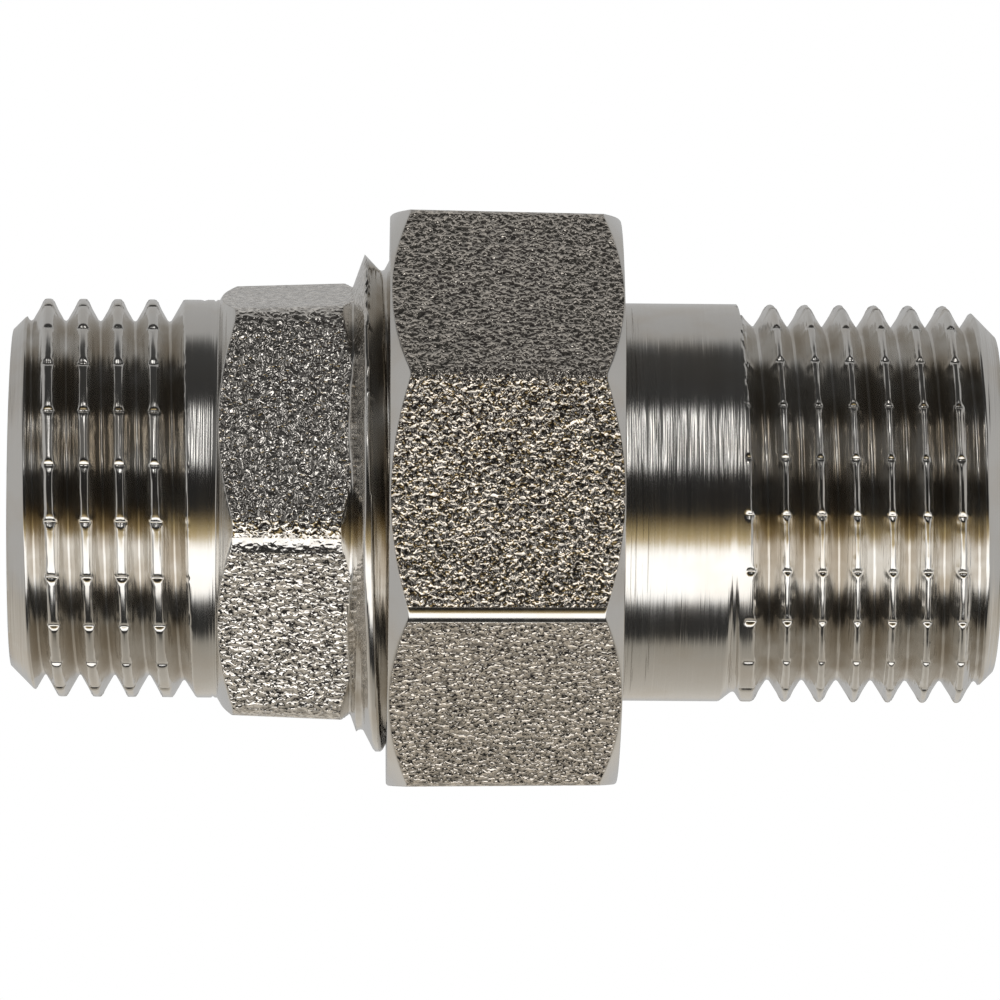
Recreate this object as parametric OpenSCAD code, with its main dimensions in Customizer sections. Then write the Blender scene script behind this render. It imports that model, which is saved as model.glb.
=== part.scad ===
/* [End threads] */
// Crest diameter of the two pipe threads (G 1/2 size)
end_thread_d = 20.9; // [19:0.05:26]
// Distance from one thread turn to the next, on every thread of the fitting
thread_pitch = 1.814; // [1.5:0.002:2.2]
// Length of the left thread, from the end face to the plain shank
left_thread_l = 9.15; // [7:0.05:12]
// Length of the right thread, from the plain shank to the end face
right_thread_l = 13.55; // [10:0.05:18]
// Chamfer at the outer end of each thread, measured along the radius
end_chamfer = 1.6; // [1.2:0.05:2]
// Number of grip notches across the thread crests
notch_count = 22; // [12:1:30]
// Depth of a grip notch
notch_depth = 0.14; // [0.08:0.01:0.2]
// Width of a grip notch at the crest
notch_w = 0.62; // [0.3:0.01:1]

/* [Threaded end] */
// Plain shank between the left thread and the hexagon
left_shank_l = 2; // [1.6:0.05:4]
// Length of the hexagon
hex_l = 6.43; // [5:0.01:10]
// How far the hexagon's flats stand above the end thread at its narrow end
hex_rise = 0.2; // [0.1:0.05:2]
// Draft of the forged hexagon, in degrees
hex_draft = 1.9; // [0:0.1:3]
// Corner rounding of the forged hexagon
hex_round = 2; // [0.5:0.1:3]
// Turn of the hexagon about the pipe axis, in degrees
hex_turn = 8.9; // [-30:0.1:30]
// How far the hexagon's turned chamfer reaches over the plain shank
hex_chamfer_l = 0.35; // [0.1:0.05:0.8]
// Angle between the hexagon's chamfers and a plane across the pipe, in degrees
hex_chamfer_angle = 30; // [15:1:50]
// How far the chamfer on the union side stops above the flats, where it meets the union's cone
hex_valley_rise = 0.65; // [0.3:0.05:1]
// Gap along the pipe between the hexagon and the nut, measured at the hexagon's flats
hex_clear = 2.12; // [1.9:0.01:4]
// Angle between the cone that leads to the union thread and a plane across the pipe, in degrees
union_lead_angle = 19.4; // [10:0.1:40]
// Chamfer at the end of the union thread
union_chamfer = 1; // [0.5:0.05:1.2]
// Bore of the threaded end
left_bore_d = 15; // [13:0.1:16]
// Chamfer at the mouth of both bores
bore_chamfer = 0.4; // [0.2:0.05:0.8]

/* [Seat and seal] */
// Half angle of the conical seat, in degrees
seat_angle = 30; // [25:1:40]
// Wall left between the seat's mouth and the root of the union thread
seat_wall = 1.06; // [0.9:0.02:1.6]
// Depth of the conical seat
seat_l = 4.5; // [3.9:0.1:6]
// Gap between the conical seat and the nose
seat_gap = 0.1; // [0.05:0.01:0.2]
// Gap between the end of the union thread and the collar
face_gap = 0.3; // [0.2:0.05:0.6]
// Thickness of the rubber ring
ring_d = 1.5; // [1.2:0.05:1.9]
// Distance from the collar to the middle of the rubber ring
ring_x = 1.25; // [1.15:0.05:1.6]
// Gap between the rubber ring and the conical seat
ring_gap = 0.05; // [0.03:0.01:0.1]

/* [Tailpiece] */
// Length of the conical nose in front of the collar
nose_l = 3.6; // [2.8:0.1:4]
// Thickness of the collar that the nut pulls on
collar_l = 3.1; // [2:0.05:5]
// How far the collar stands above the hole in the nut
collar_step = 1.3; // [1:0.05:2.5]
// Plain shank from the collar to the right thread
tail_shank_l = 9.1; // [7:0.05:14]
// How much smaller the shank is where the nut rides on it
ride_step = 0.2; // [0.16:0.01:0.4]
// Bore of the tailpiece at its thread
tail_bore_d = 15.5; // [14:0.1:16]
// Bore of the tailpiece at its nose, where the key lugs are
nose_bore_d = 15; // [13:0.1:15.2]
// Length of the nose bore
nose_bore_l = 10; // [8:0.1:13]
// Length of the two key lugs
lug_l = 8; // [4:0.1:9]
// Width of a key lug
lug_w = 2.6; // [1.5:0.1:4]
// Height of a key lug above the bore
lug_h = 1.4; // [0.8:0.1:2]

/* [Union nut] */
// Length of the nut
nut_l = 12.08; // [10.5:0.02:16]
// Thinnest wall of the nut, over the root of its thread
nut_wall = 1.68; // [1.2:0.02:4]
// Thickness of the web that pulls on the collar
nut_web = 2.83; // [1.8:0.01:4]
// Draft of the forged nut, in degrees
nut_draft = 0.8; // [0:0.1:2]
// Corner rounding of the forged nut
nut_round = 0.9; // [0.3:0.1:2]
// Angle between the nut's outer chamfers and the pipe axis, in degrees
nut_chamfer_angle = 50; // [30:1:60]
// Radial depth of the chamfer on the thread side, below the flats
nut_chamfer_left = 0.1; // [0.03:0.01:0.8]
// Radial depth of the chamfer on the web side, below the flats
nut_chamfer_right = 0.05; // [0.03:0.01:0.8]
// Length of the thread relief in front of the web
relief_l = 1.8; // [1.2:0.1:2.5]

/* [Clearances] */
// Clearance between the union thread and the nut's thread
thread_gap = 0.1; // [0.07:0.01:0.14]
// Radial clearance between the nut's hole and the end thread that passes through it
pass_gap = 0.15; // [0.1:0.01:0.3]
// Radial clearance between the collar and the crests of the nut's thread
collar_gap = 0.26; // [0.15:0.01:0.5]
// Gap between the collar and the nut's web
web_gap = 0.1; // [0.05:0.01:0.2]

/* [Thread starts] */
// Crest of the left thread on its upper side, measured from its end face
left_crest_x = 1.8; // [0:0.01:2.2]
// Crest of the union thread on its upper side, measured from the hexagon
union_crest_x = 0.79; // [0:0.01:2.2]
// Crest of the right thread on its upper side, measured from the plain shank
right_crest_x = 1.75; // [0:0.01:2.2]
// Turn of the left thread's notches below the front, in degrees
left_notch_turn = 8.2; // [0:0.1:30]
// Turn of the right thread's notches below the front, in degrees
right_notch_turn = 4.7; // [0:0.1:30]

/* [Hidden] */

metal = [0.62, 0.6, 0.56];
bright_metal = [0.72, 0.7, 0.66];
rubber = [0.08, 0.08, 0.08];

// Facets: round faces, rings per thread turn, forged corners and the rubber ring's section
curve_fn = 96;
thread_steps = 44;
corner_fn = 48;
ring_fn = 32;
// How far cutting tools reach past the faces they cut, and solids into the ones they join
overrun = 1;
// Small chamfer on turned edges inside the union, and at the nut's hole
edge_chamfer = 0.3;
hole_chamfer = 0.2;
// Room on each side of the rubber ring in its groove
ring_slack = 0.1;
// How far inside the nut's outer face the shank's riding stretch ends
ride_short = 0.03;
// Depth of the nut's thread relief below the thread root
relief_depth = 0.05;
// Plain length at the inner end of a thread, which the notches leave untouched
notch_short = 0.2;
// How far below the shank's surface the hexagon's chamfer starts
hex_sink = 0.05;
// Distance from the nose's front face to the key lugs
lug_inset = 1;

// Whitworth form: 55 degree flanks, depth and flats as shares of the pitch
flank_angle = 27.5;
flank_slope = tan(flank_angle);
thread_h = 0.640327 * thread_pitch;
thread_flat = thread_pitch / 2 - thread_h * flank_slope;
// How far a thread or notch cutter stands proud of the surface it cuts
tool_lift = 0.1;
// Extra width of the nut's groove, so its flanks stand off by the same gap
nut_widening = 2 * (thread_gap / cos(flank_angle) - thread_gap * flank_slope);

// Radii, each worked out from the end thread outwards
end_r = end_thread_d / 2;
end_root_r = end_r - thread_h;
ride_r = end_r - ride_step;
hole_r = end_r + pass_gap;
collar_r = hole_r + collar_step;
nut_crest_r = collar_r + collar_gap;
nut_root_r = nut_crest_r + thread_h;
union_root_r = nut_crest_r - thread_gap;
union_r = nut_root_r - thread_gap;
seat_mouth_r = union_root_r - seat_wall;
nut_flat_r = nut_root_r + nut_wall;
hex_flat_r = end_r + hex_rise;

// Stations along the pipe axis, from the left end face to the right one
union_thread_l = nut_l + hex_clear - nut_web - web_gap - collar_l - face_gap;
overall_l = left_thread_l + left_shank_l + hex_l + union_thread_l + face_gap + collar_l
    + tail_shank_l + right_thread_l;
left_end_x = -overall_l / 2;
left_shank_x = left_end_x + left_thread_l;
hex_x = left_shank_x + left_shank_l;
hex_start_x = hex_x - hex_chamfer_l;
hex_end_x = hex_x + hex_l;
union_end_x = hex_end_x + union_thread_l;
hex_valley_x = hex_end_x + hex_valley_rise * tan(union_lead_angle);
collar_x = union_end_x + face_gap;
collar_end_x = collar_x + collar_l;
right_thread_x = collar_end_x + tail_shank_l;
right_end_x = right_thread_x + right_thread_l;
web_x = collar_end_x + web_gap;
nut_end_x = web_x + nut_web;
nut_x = nut_end_x - nut_l;
relief_x = web_x - relief_l;
nose_x = collar_x - nose_l;
ring_mid_x = collar_x - ring_x;

// Radius of the conical seat at a place on the axis
function seat_r(x) = seat_mouth_r - (union_end_x - x) * tan(seat_angle);
function nose_r(x) = seat_r(x) - seat_gap / cos(seat_angle);
ring_r = seat_r(ring_mid_x) - (ring_d / 2 + ring_gap) / cos(seat_angle);
ring_side = ring_d / 2 + ring_slack;

// A solid turned about the pipe axis from [radius, x] points
module turned(points) {
    rotate([0, 90, 0])
        rotate_extrude($fn = curve_fn)
            polygon(points);
}

// A round hole along the pipe axis
module bore(r, x_from, x_to) {
    translate([x_from, 0, 0])
        rotate([0, 90, 0])
            cylinder(r = r, h = x_to - x_from, $fn = curve_fn);
}

// A place on a helix: the angle runs from the top towards the front
function on_helix(x, r, angle) = [x, -r * sin(angle), r * cos(angle)];

// Share of its depth that a groove has lost where it fades in or out: none at fade_turns from its end
function fade(turns_from_end, fade_turns) = fade_turns > 0 ? max(0, 1 - turns_from_end / fade_turns) : 0;

// The four corners of a groove that is narrow at root_r and wide at mouth_r
function groove_section(root_r, mouth_r, flat) =
    let (wide = flat / 2 + abs(mouth_r - root_r) * flank_slope)
    [[root_r, -flat / 2], [root_r, flat / 2], [mouth_r, wide], [mouth_r, -wide]];

// A right-handed helical groove tool: one closed tube of four-cornered rings
module helical_groove(root_r, mouth_r, flat, x_start, turns, fade_in = 0, fade_out = 0) {
    count = floor(turns * thread_steps);
    depth = mouth_r - root_r;
    // The rings stop just short of a flat section where the groove has faded out
    rings = [for (i = [0 : count])
        let (turn = i / thread_steps)
        let (lost = 0.99 * max(fade(turn, fade_in), fade(count / thread_steps - turn, fade_out)))
        let (section = groove_section(root_r + lost * depth, mouth_r, flat))
        [for (p = section) on_helix(x_start + turn * thread_pitch + p[1], p[0], 360 * turn)]];
    points = [for (ring = rings) for (p = ring) p];
    sides = [for (i = [0 : count - 1]) for (k = [0 : 3])
        let (a = 4 * i + k, b = 4 * i + (k + 1) % 4)
        each [[a, b, b + 4], [a, b + 4, a + 4]]];
    first = [[0, 3, 2], [0, 2, 1]];
    last = [for (f = [[0, 1, 2], [0, 2, 3]]) [for (k = f) k + 4 * count]];
    outward = mouth_r > root_r;
    all_faces = concat(sides, first, last);
    faces = outward ? [for (f = all_faces) [f[0], f[2], f[1]]] : all_faces;
    polyhedron(points = points, faces = faces, convexity = 10);
}

// The groove lies half a pitch beside the crest, and starts the first whole turn before a place
function first_groove(crest_x, before_x) =
    crest_x - thread_pitch * (0.5 + ceil((crest_x - before_x) / thread_pitch - 0.5));

// Grip notches: shallow V cuts along the axis, all round the crests
module grip_notches(x_from, x_to, turn) {
    cut_h = notch_depth + tool_lift;
    half = notch_w / 2 * cut_h / notch_depth;
    for (i = [0 : notch_count - 1])
        rotate([90 + turn + i * 360 / notch_count, 0, 0])
            translate([x_from, 0, end_r - notch_depth])
                rotate([90, 0, 90])
                    linear_extrude(x_to - x_from)
                        polygon([[0, 0], [half, cut_h], [-half, cut_h]]);
}

// Hexagon of the threaded end: a drafted forging with round corners
module forged_hexagon() {
    forged_l = hex_valley_x - hex_start_x;
    far_flat_r = hex_flat_r + forged_l * tan(hex_draft);
    translate([hex_start_x, 0, 0])
        rotate([0, 90, 0])
            rotate([0, 0, hex_turn - 90])
                linear_extrude(forged_l, scale = far_flat_r / hex_flat_r)
                    offset(r = hex_round, $fn = corner_fn)
                        circle(r = (hex_flat_r - hex_round) / cos(30), $fn = 6);
}

// The turned envelope that chamfers both sides of the hexagon
module hexagon_envelope() {
    lead = tan(hex_chamfer_angle);
    start_r = end_r - hex_sink;
    valley_r = hex_flat_r + hex_valley_rise;
    reach = 1.3 * hex_flat_r;
    turned([
        [0, hex_start_x],
        [start_r, hex_start_x],
        [reach, hex_start_x + (reach - start_r) * lead],
        [reach, hex_valley_x - (reach - valley_r) * lead],
        [valley_r, hex_valley_x],
        [0, hex_valley_x]
    ]);
}

module threaded_end() {
    lead_x = hex_end_x + (union_r - hex_flat_r) * tan(union_lead_angle);
    seat_end_x = union_end_x - seat_l;
    bore_r = left_bore_d / 2;
    mouth_r = bore_r + bore_chamfer;
    left_start = first_groove(left_end_x + left_crest_x, left_end_x - overrun);
    // The left thread's groove ends at the back, where the plain shank has begun
    left_turns = ceil((left_shank_x - left_start) / thread_pitch - 0.25) - 0.25;
    union_start = hex_end_x + union_crest_x - thread_pitch / 2;
    union_turns = (union_end_x + overrun - union_start) / thread_pitch;
    color(metal)
        difference() {
            union() {
                turned([
                    [0, left_end_x],
                    [end_r - end_chamfer, left_end_x],
                    [end_r, left_end_x + end_chamfer],
                    [end_r, hex_x + overrun],
                    [0, hex_x + overrun]
                ]);
                intersection() {
                    forged_hexagon();
                    hexagon_envelope();
                }
                turned([
                    [0, hex_end_x - overrun],
                    [hex_flat_r, hex_end_x - overrun],
                    [hex_flat_r, hex_end_x],
                    [union_r, lead_x],
                    [union_r, union_end_x - union_chamfer],
                    [union_r - union_chamfer, union_end_x],
                    [0, union_end_x]
                ]);
            }
            helical_groove(end_root_r, end_r + tool_lift, thread_flat, left_start, left_turns,
                fade_out = 0.6);
            helical_groove(union_root_r, union_r + tool_lift, thread_flat, union_start, union_turns,
                fade_in = 0.5);
            turned([
                [0, left_end_x - overrun],
                [mouth_r + overrun, left_end_x - overrun],
                [bore_r, left_end_x + bore_chamfer],
                [bore_r, seat_end_x],
                [seat_r(seat_end_x), seat_end_x],
                [seat_r(union_end_x + overrun), union_end_x + overrun],
                [0, union_end_x + overrun]
            ]);
            grip_notches(left_end_x - overrun, left_shank_x - notch_short, left_notch_turn);
        }
}

// Rubber ring in the groove of the nose
module seat_o_ring() {
    color(rubber)
        rotate([0, 90, 0])
            rotate_extrude($fn = curve_fn)
                translate([ring_r, ring_mid_x])
                    circle(r = ring_d / 2, $fn = ring_fn);
}

// Key lugs: two ribs inside the nose bore, for the key that turns the tailpiece
module key_lugs(bore_r) {
    lug_root_r = (bore_r + ring_r - ring_d / 2) / 2;
    intersection() {
        bore(lug_root_r, nose_x, nose_x + nose_bore_l);
        for (side = [0, 180])
            rotate([side, 0, 0])
                translate([nose_x + lug_inset, -lug_w / 2, bore_r - lug_h])
                    cube([lug_l, lug_w, lug_root_r]);
    }
}

module tailpiece() {
    nose_bore_r = nose_bore_d / 2;
    bore_r = tail_bore_d / 2;
    mouth_r = bore_r + bore_chamfer;
    bore_step_x = nose_x + nose_bore_l;
    ride_end_x = nut_end_x - ride_short;
    right_start = right_thread_x + right_crest_x - thread_pitch / 2;
    right_turns = (right_end_x + overrun - right_start) / thread_pitch;
    color(bright_metal) {
        difference() {
            turned([
                [0, nose_x],
                [nose_r(nose_x) - edge_chamfer, nose_x],
                [nose_r(nose_x + edge_chamfer), nose_x + edge_chamfer],
                [nose_r(collar_x), collar_x],
                [collar_r - edge_chamfer, collar_x],
                [collar_r, collar_x + edge_chamfer],
                [collar_r, collar_end_x],
                [ride_r, collar_end_x],
                [ride_r, ride_end_x],
                [end_r, ride_end_x],
                [end_r, right_end_x - end_chamfer],
                [end_r - end_chamfer, right_end_x],
                [0, right_end_x]
            ]);
            // Ring groove, cut straight in from the cone
            turned([
                [ring_r - ring_d / 2, ring_mid_x - ring_side],
                [collar_r, ring_mid_x - ring_side],
                [collar_r, ring_mid_x + ring_side],
                [ring_r - ring_d / 2, ring_mid_x + ring_side]
            ]);
            helical_groove(end_root_r, end_r + tool_lift, thread_flat, right_start, right_turns,
                fade_in = 0.5);
            turned([
                [0, nose_x - overrun],
                [nose_bore_r, nose_x - overrun],
                [nose_bore_r, bore_step_x],
                [bore_r, bore_step_x + bore_r - nose_bore_r],
                [bore_r, right_end_x - bore_chamfer],
                [mouth_r + overrun, right_end_x + overrun],
                [0, right_end_x + overrun]
            ]);
            grip_notches(right_thread_x + notch_short, right_end_x + overrun, right_notch_turn);
        }
        key_lugs(nose_bore_r);
    }
}

// Octagon of the nut: a drafted forging with rounded corners
module forged_octagon() {
    web_flat_r = nut_flat_r - nut_l * tan(nut_draft);
    translate([nut_x, 0, 0])
        rotate([0, 90, 0])
            rotate([0, 0, 22.5])
                linear_extrude(nut_l, scale = web_flat_r / nut_flat_r)
                    offset(r = nut_round, $fn = corner_fn)
                        circle(r = (nut_flat_r - nut_round) / cos(22.5), $fn = 8);
}

// The turned envelope that chamfers both sides of the nut
module nut_envelope() {
    slope = 1 / tan(nut_chamfer_angle);
    reach = 1.2 * nut_flat_r;
    left_r = nut_flat_r - nut_chamfer_left;
    right_r = nut_flat_r - nut_l * tan(nut_draft) - nut_chamfer_right;
    turned([
        [0, nut_x],
        [left_r, nut_x],
        [reach, nut_x + (reach - left_r) * slope],
        [reach, nut_end_x - (reach - right_r) * slope],
        [right_r, nut_end_x],
        [0, nut_end_x]
    ]);
}

module union_nut() {
    relief_r = nut_root_r + relief_depth;
    mouth_r = relief_r + overrun;
    groove_start = first_groove(hex_end_x + union_crest_x, nut_x - overrun) - thread_pitch / 2;
    groove_turns = (web_x - thread_pitch / 2 - groove_start) / thread_pitch;
    color(metal)
        difference() {
            intersection() {
                forged_octagon();
                nut_envelope();
            }
            turned([
                [0, nut_x - overrun],
                [mouth_r, nut_x - overrun],
                [nut_crest_r, nut_x + relief_r - nut_crest_r],
                [nut_crest_r, relief_x],
                [relief_r, relief_x + relief_r - nut_crest_r],
                [relief_r, web_x],
                [hole_r, web_x],
                [hole_r, nut_end_x - hole_chamfer],
                [hole_r + hole_chamfer + overrun, nut_end_x + overrun],
                [0, nut_end_x + overrun]
            ]);
            helical_groove(nut_root_r, nut_crest_r - tool_lift,
                thread_flat + nut_widening, groove_start, groove_turns);
        }
}

threaded_end();
seat_o_ring();
tailpiece();
union_nut();
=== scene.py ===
"""Visual model of a nickel-plated union nipple: threaded end, union nut, tailpiece and seal."""

import logging
import math
from dataclasses import dataclass, field
from enum import Enum
from typing import Callable, Sequence

import bmesh
import bpy
import numpy as np
from mathutils import Matrix, Vector


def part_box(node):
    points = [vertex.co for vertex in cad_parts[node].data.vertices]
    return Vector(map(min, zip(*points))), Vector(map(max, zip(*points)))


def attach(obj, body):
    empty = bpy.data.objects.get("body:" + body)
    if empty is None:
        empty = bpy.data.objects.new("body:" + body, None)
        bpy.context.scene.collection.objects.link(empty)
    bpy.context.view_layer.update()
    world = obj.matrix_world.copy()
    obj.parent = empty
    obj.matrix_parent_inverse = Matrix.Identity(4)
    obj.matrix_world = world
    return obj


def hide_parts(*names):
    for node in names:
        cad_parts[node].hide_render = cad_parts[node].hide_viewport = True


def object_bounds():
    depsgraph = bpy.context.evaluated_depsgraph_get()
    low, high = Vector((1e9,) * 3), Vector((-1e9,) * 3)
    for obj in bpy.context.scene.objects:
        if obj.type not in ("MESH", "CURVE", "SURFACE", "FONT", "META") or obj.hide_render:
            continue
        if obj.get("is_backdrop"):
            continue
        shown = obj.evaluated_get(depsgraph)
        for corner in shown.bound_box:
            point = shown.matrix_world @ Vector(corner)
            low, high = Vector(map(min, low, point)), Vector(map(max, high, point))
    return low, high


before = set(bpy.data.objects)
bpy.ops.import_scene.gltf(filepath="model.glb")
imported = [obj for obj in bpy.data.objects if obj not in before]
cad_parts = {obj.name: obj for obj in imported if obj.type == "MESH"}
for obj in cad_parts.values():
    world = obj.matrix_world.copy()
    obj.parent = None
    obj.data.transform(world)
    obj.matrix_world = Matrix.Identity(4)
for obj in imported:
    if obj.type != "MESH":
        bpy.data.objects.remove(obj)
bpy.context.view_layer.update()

LOG = logging.getLogger("union_nipple")
MM = 0.001
TURN = 2 * math.pi
WELD = 0.002 * MM

Socket = bpy.types.NodeSocket
Surface = Callable[[np.ndarray, np.ndarray], tuple[np.ndarray, np.ndarray]]


class Graph:
    """Short calls that add nodes to one node tree and link them."""

    def __init__(self, tree: bpy.types.NodeTree) -> None:
        """Keeps the tree that the nodes go into.

        Args:
            tree: the node tree to fill.
        """
        self.tree = tree

    def node(self, kind: str, inputs: dict | None = None, **settings: object) -> bpy.types.Node:
        """Adds one node.

        Args:
            kind: the node's type name.
            inputs: values or sockets for its inputs, by name or by place.
            settings: the node's own properties.

        Returns:
            The new node.
        """
        new = self.tree.nodes.new(kind)
        for name, value in settings.items():
            setattr(new, name, value)
        for key, value in (inputs or {}).items():
            self.feed(new.inputs[key], value)
        return new

    def feed(self, target: Socket, value: object) -> None:
        """Links a socket to an input, or sets the input's value.

        Args:
            target: the input.
            value: a socket, or a plain value.
        """
        if isinstance(value, bpy.types.NodeSocket):
            self.tree.links.new(value, target)
        else:
            target.default_value = value

    def math(self, operation: str, *values: float | Socket, clamp: bool = False) -> Socket:
        """Adds a Math node.

        Args:
            operation: the operation's name.
            values: its operands, in order.
            clamp: keep the result between 0 and 1.

        Returns:
            The result.
        """
        new = self.node("ShaderNodeMath", dict(enumerate(values)), operation=operation, use_clamp=clamp)
        return new.outputs[0]

    def total(self, *values: float | Socket) -> Socket:
        """Adds up values.

        Args:
            values: two or more numbers or sockets.

        Returns:
            Their sum.
        """
        result = values[0]
        for value in values[1:]:
            result = self.math("ADD", result, value)
        return result

    def ease(self, value: Socket, start: float | Socket, end: float | Socket) -> Socket:
        """Adds a smooth step.

        Args:
            value: the value to map.
            start: where the result is 0.
            end: where the result is 1.

        Returns:
            A value that eases from 0 to 1.
        """
        new = self.node("ShaderNodeMapRange", {"Value": value, "From Min": start, "From Max": end},
                        interpolation_type="SMOOTHSTEP")
        return new.outputs[0]

    def mix(self, factor: float | Socket, a: object, b: object) -> Socket:
        """Mixes two colours.

        Args:
            factor: 0 gives the first colour and 1 the second.
            a: the first colour.
            b: the second colour.

        Returns:
            The mixed colour.
        """
        new = self.node("ShaderNodeMix", {0: factor, 6: a, 7: b}, data_type="RGBA")
        return new.outputs[2]

    def combine(self, x: float | Socket, y: float | Socket, z: float | Socket) -> Socket:
        """Makes a vector from three values.

        Args:
            x: the first value.
            y: the second value.
            z: the third value.

        Returns:
            The vector.
        """
        return self.node("ShaderNodeCombineXYZ", {0: x, 1: y, 2: z}).outputs[0]


# ---------------------------------------------------------------- rings and skins


@dataclass(frozen=True)
class Rings:
    """The angles at which every ring of one piece has a vertex, in bunched cells."""

    cells: int
    rows: int
    turn: float
    bunching: float

    @property
    def count(self) -> int:
        """Number of vertices in a ring."""
        return self.cells * self.rows

    @property
    def angles(self) -> np.ndarray:
        """Angles from the top towards the front, closest together at the middle of each cell."""
        place = np.arange(self.count) / self.rows
        cell = np.floor(place)
        along = place - cell - 0.5
        warped = along - self.bunching * np.sin(TURN * along) / TURN
        return self.turn + (cell + 0.5 + warped) * TURN / self.cells


class Skin:
    """The surface of one piece, gathered strip by strip and closed at the end."""

    def __init__(self, name: str, rings: Rings) -> None:
        """Starts an empty skin.

        Args:
            name: the piece's name.
            rings: the angles that all its rings share.
        """
        self.name = name
        self.rings = rings
        self.places: list[np.ndarray] = []
        self.faces: list[tuple[int, ...]] = []
        self.forged: list[np.ndarray] = []
        self.groove: list[np.ndarray] = []
        self.size = 0

    def add(self, places: np.ndarray, faces: Sequence[tuple[int, ...]], forged: np.ndarray,
            groove: np.ndarray) -> None:
        """Adds vertices and faces.

        Args:
            places: one row of x, y, z for each vertex.
            faces: vertex numbers, counted within these vertices.
            forged: how far each vertex is inside forged skin, in millimetres.
            groove: how deep each vertex lies in a thread, from 0 to 1.
        """
        self.places.append(places)
        self.faces.extend(tuple(v + self.size for v in face) for face in faces)
        self.forged.append(forged)
        self.groove.append(groove)
        self.size += len(places)

    def strip(self, x: np.ndarray, radius: np.ndarray, forged: np.ndarray | None = None) -> None:
        """Adds a strip of rings.

        Args:
            x: a place along the axis for each ring and angle.
            radius: a radius for each ring and angle.
            forged: how far inside forged skin each vertex is, in millimetres, or None for turned metal.
        """
        angles = self.rings.angles
        count = self.rings.count
        places = np.stack([x, -radius * np.sin(angles), radius * np.cos(angles)], axis=-1).reshape(-1, 3)
        faces = [(a + i, a + (i + 1) % count, b + (i + 1) % count, b + i)
                 for a, b in ((row * count, (row + 1) * count) for row in range(len(x) - 1))
                 for i in range(count)]
        skin = np.full(len(places), -1.0) if forged is None else forged.reshape(-1)
        self.add(places, faces, skin, np.zeros(len(places)))

    def turned(self, points: Sequence[tuple[float, float]]) -> None:
        """Adds a turned strip.

        Args:
            points: places along the axis and their radii, in order.
        """
        outline = np.array(points)[:, :, None] * np.ones(self.rings.count)
        self.strip(outline[:, 0], outline[:, 1])

    def shaped(self, stations: Sequence[float], surface: Surface) -> None:
        """Adds a strip whose radius changes round the axis.

        Args:
            stations: places along the axis.
            surface: gives the radius and the forged distance for places and angles.
        """
        x = np.array(stations)[:, None] * np.ones(self.rings.count)
        radius, forged = surface(x, self.rings.angles[None, :] * np.ones_like(x))
        self.strip(x, radius, forged)

    def finish(self, material: bpy.types.Material) -> bpy.types.Object:
        """Closes the skin, points its faces outwards and makes it an object.

        Args:
            material: the piece's finish.

        Returns:
            The piece.
        """
        mesh = bpy.data.meshes.new(self.name)
        mesh.from_pydata(np.concatenate(self.places).tolist(), [], self.faces)
        for name, values in (("forged", self.forged), ("groove", self.groove)):
            layer = mesh.attributes.new(name, "FLOAT", "POINT")
            layer.data.foreach_set("value", np.concatenate(values).astype(np.float32))
        soft = bmesh.new()
        soft.from_mesh(mesh)
        bmesh.ops.remove_doubles(soft, verts=soft.verts, dist=WELD)
        bmesh.ops.dissolve_degenerate(soft, edges=soft.edges, dist=WELD / 10)
        bmesh.ops.recalc_face_normals(soft, faces=soft.faces)
        for face in soft.faces:
            face.smooth = True
        open_edges = sum(1 for edge in soft.edges if len(edge.link_faces) != 2)
        soft.to_mesh(mesh)
        soft.free()
        mesh.materials.append(material)
        piece = bpy.data.objects.new(self.name, mesh)
        bpy.context.scene.collection.objects.link(piece)
        LOG.info("%s: %d faces, %d open edges", self.name, len(mesh.polygons), open_edges)
        return piece


def softened(points: Sequence[tuple[float, float]], radius: float,
             steps: int = 3) -> list[tuple[float, float]]:
    """Rounds the corners of an open outline.

    Args:
        points: the outline's corners, as place and radius.
        radius: how far from each corner the rounding starts.
        steps: number of segments in each rounded corner.

    Returns:
        The outline with a short curve, held by two support points, at each inner corner.
    """
    result = [points[0]]
    for before, corner, after in zip(points, points[1:], points[2:]):
        a, b, c = Vector(before), Vector(corner), Vector(after)
        reach = min(radius, (a - b).length / 3, (c - b).length / 3)
        back, forth = (a - b).normalized(), (c - b).normalized()
        result.append(tuple(b + back * reach * 1.5))
        for i in range(steps + 1):
            t = i / steps
            place = b + back * reach * (1 - t) ** 2 + forth * reach * t ** 2
            result.append(tuple(place))
        result.append(tuple(b + forth * reach * 1.5))
    return [*result, points[-1]]


def spread(start: float, end: float, count: int) -> list[float]:
    """Divides a stretch evenly.

    Args:
        start: the first place.
        end: the last place.
        count: number of parts.

    Returns:
        The places, both ends included.
    """
    return [start + (end - start) * i / count for i in range(count + 1)]


def soft_min(a: np.ndarray, b: np.ndarray, reach: float) -> np.ndarray:
    """Takes the smaller value, with the crossing rounded.

    Args:
        a: the first values.
        b: the second values.
        reach: the difference within which the two are blended.

    Returns:
        The smaller values.
    """
    near = np.maximum(reach - np.abs(a - b), 0) / reach
    return np.minimum(a, b) - near ** 3 * reach / 6


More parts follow.
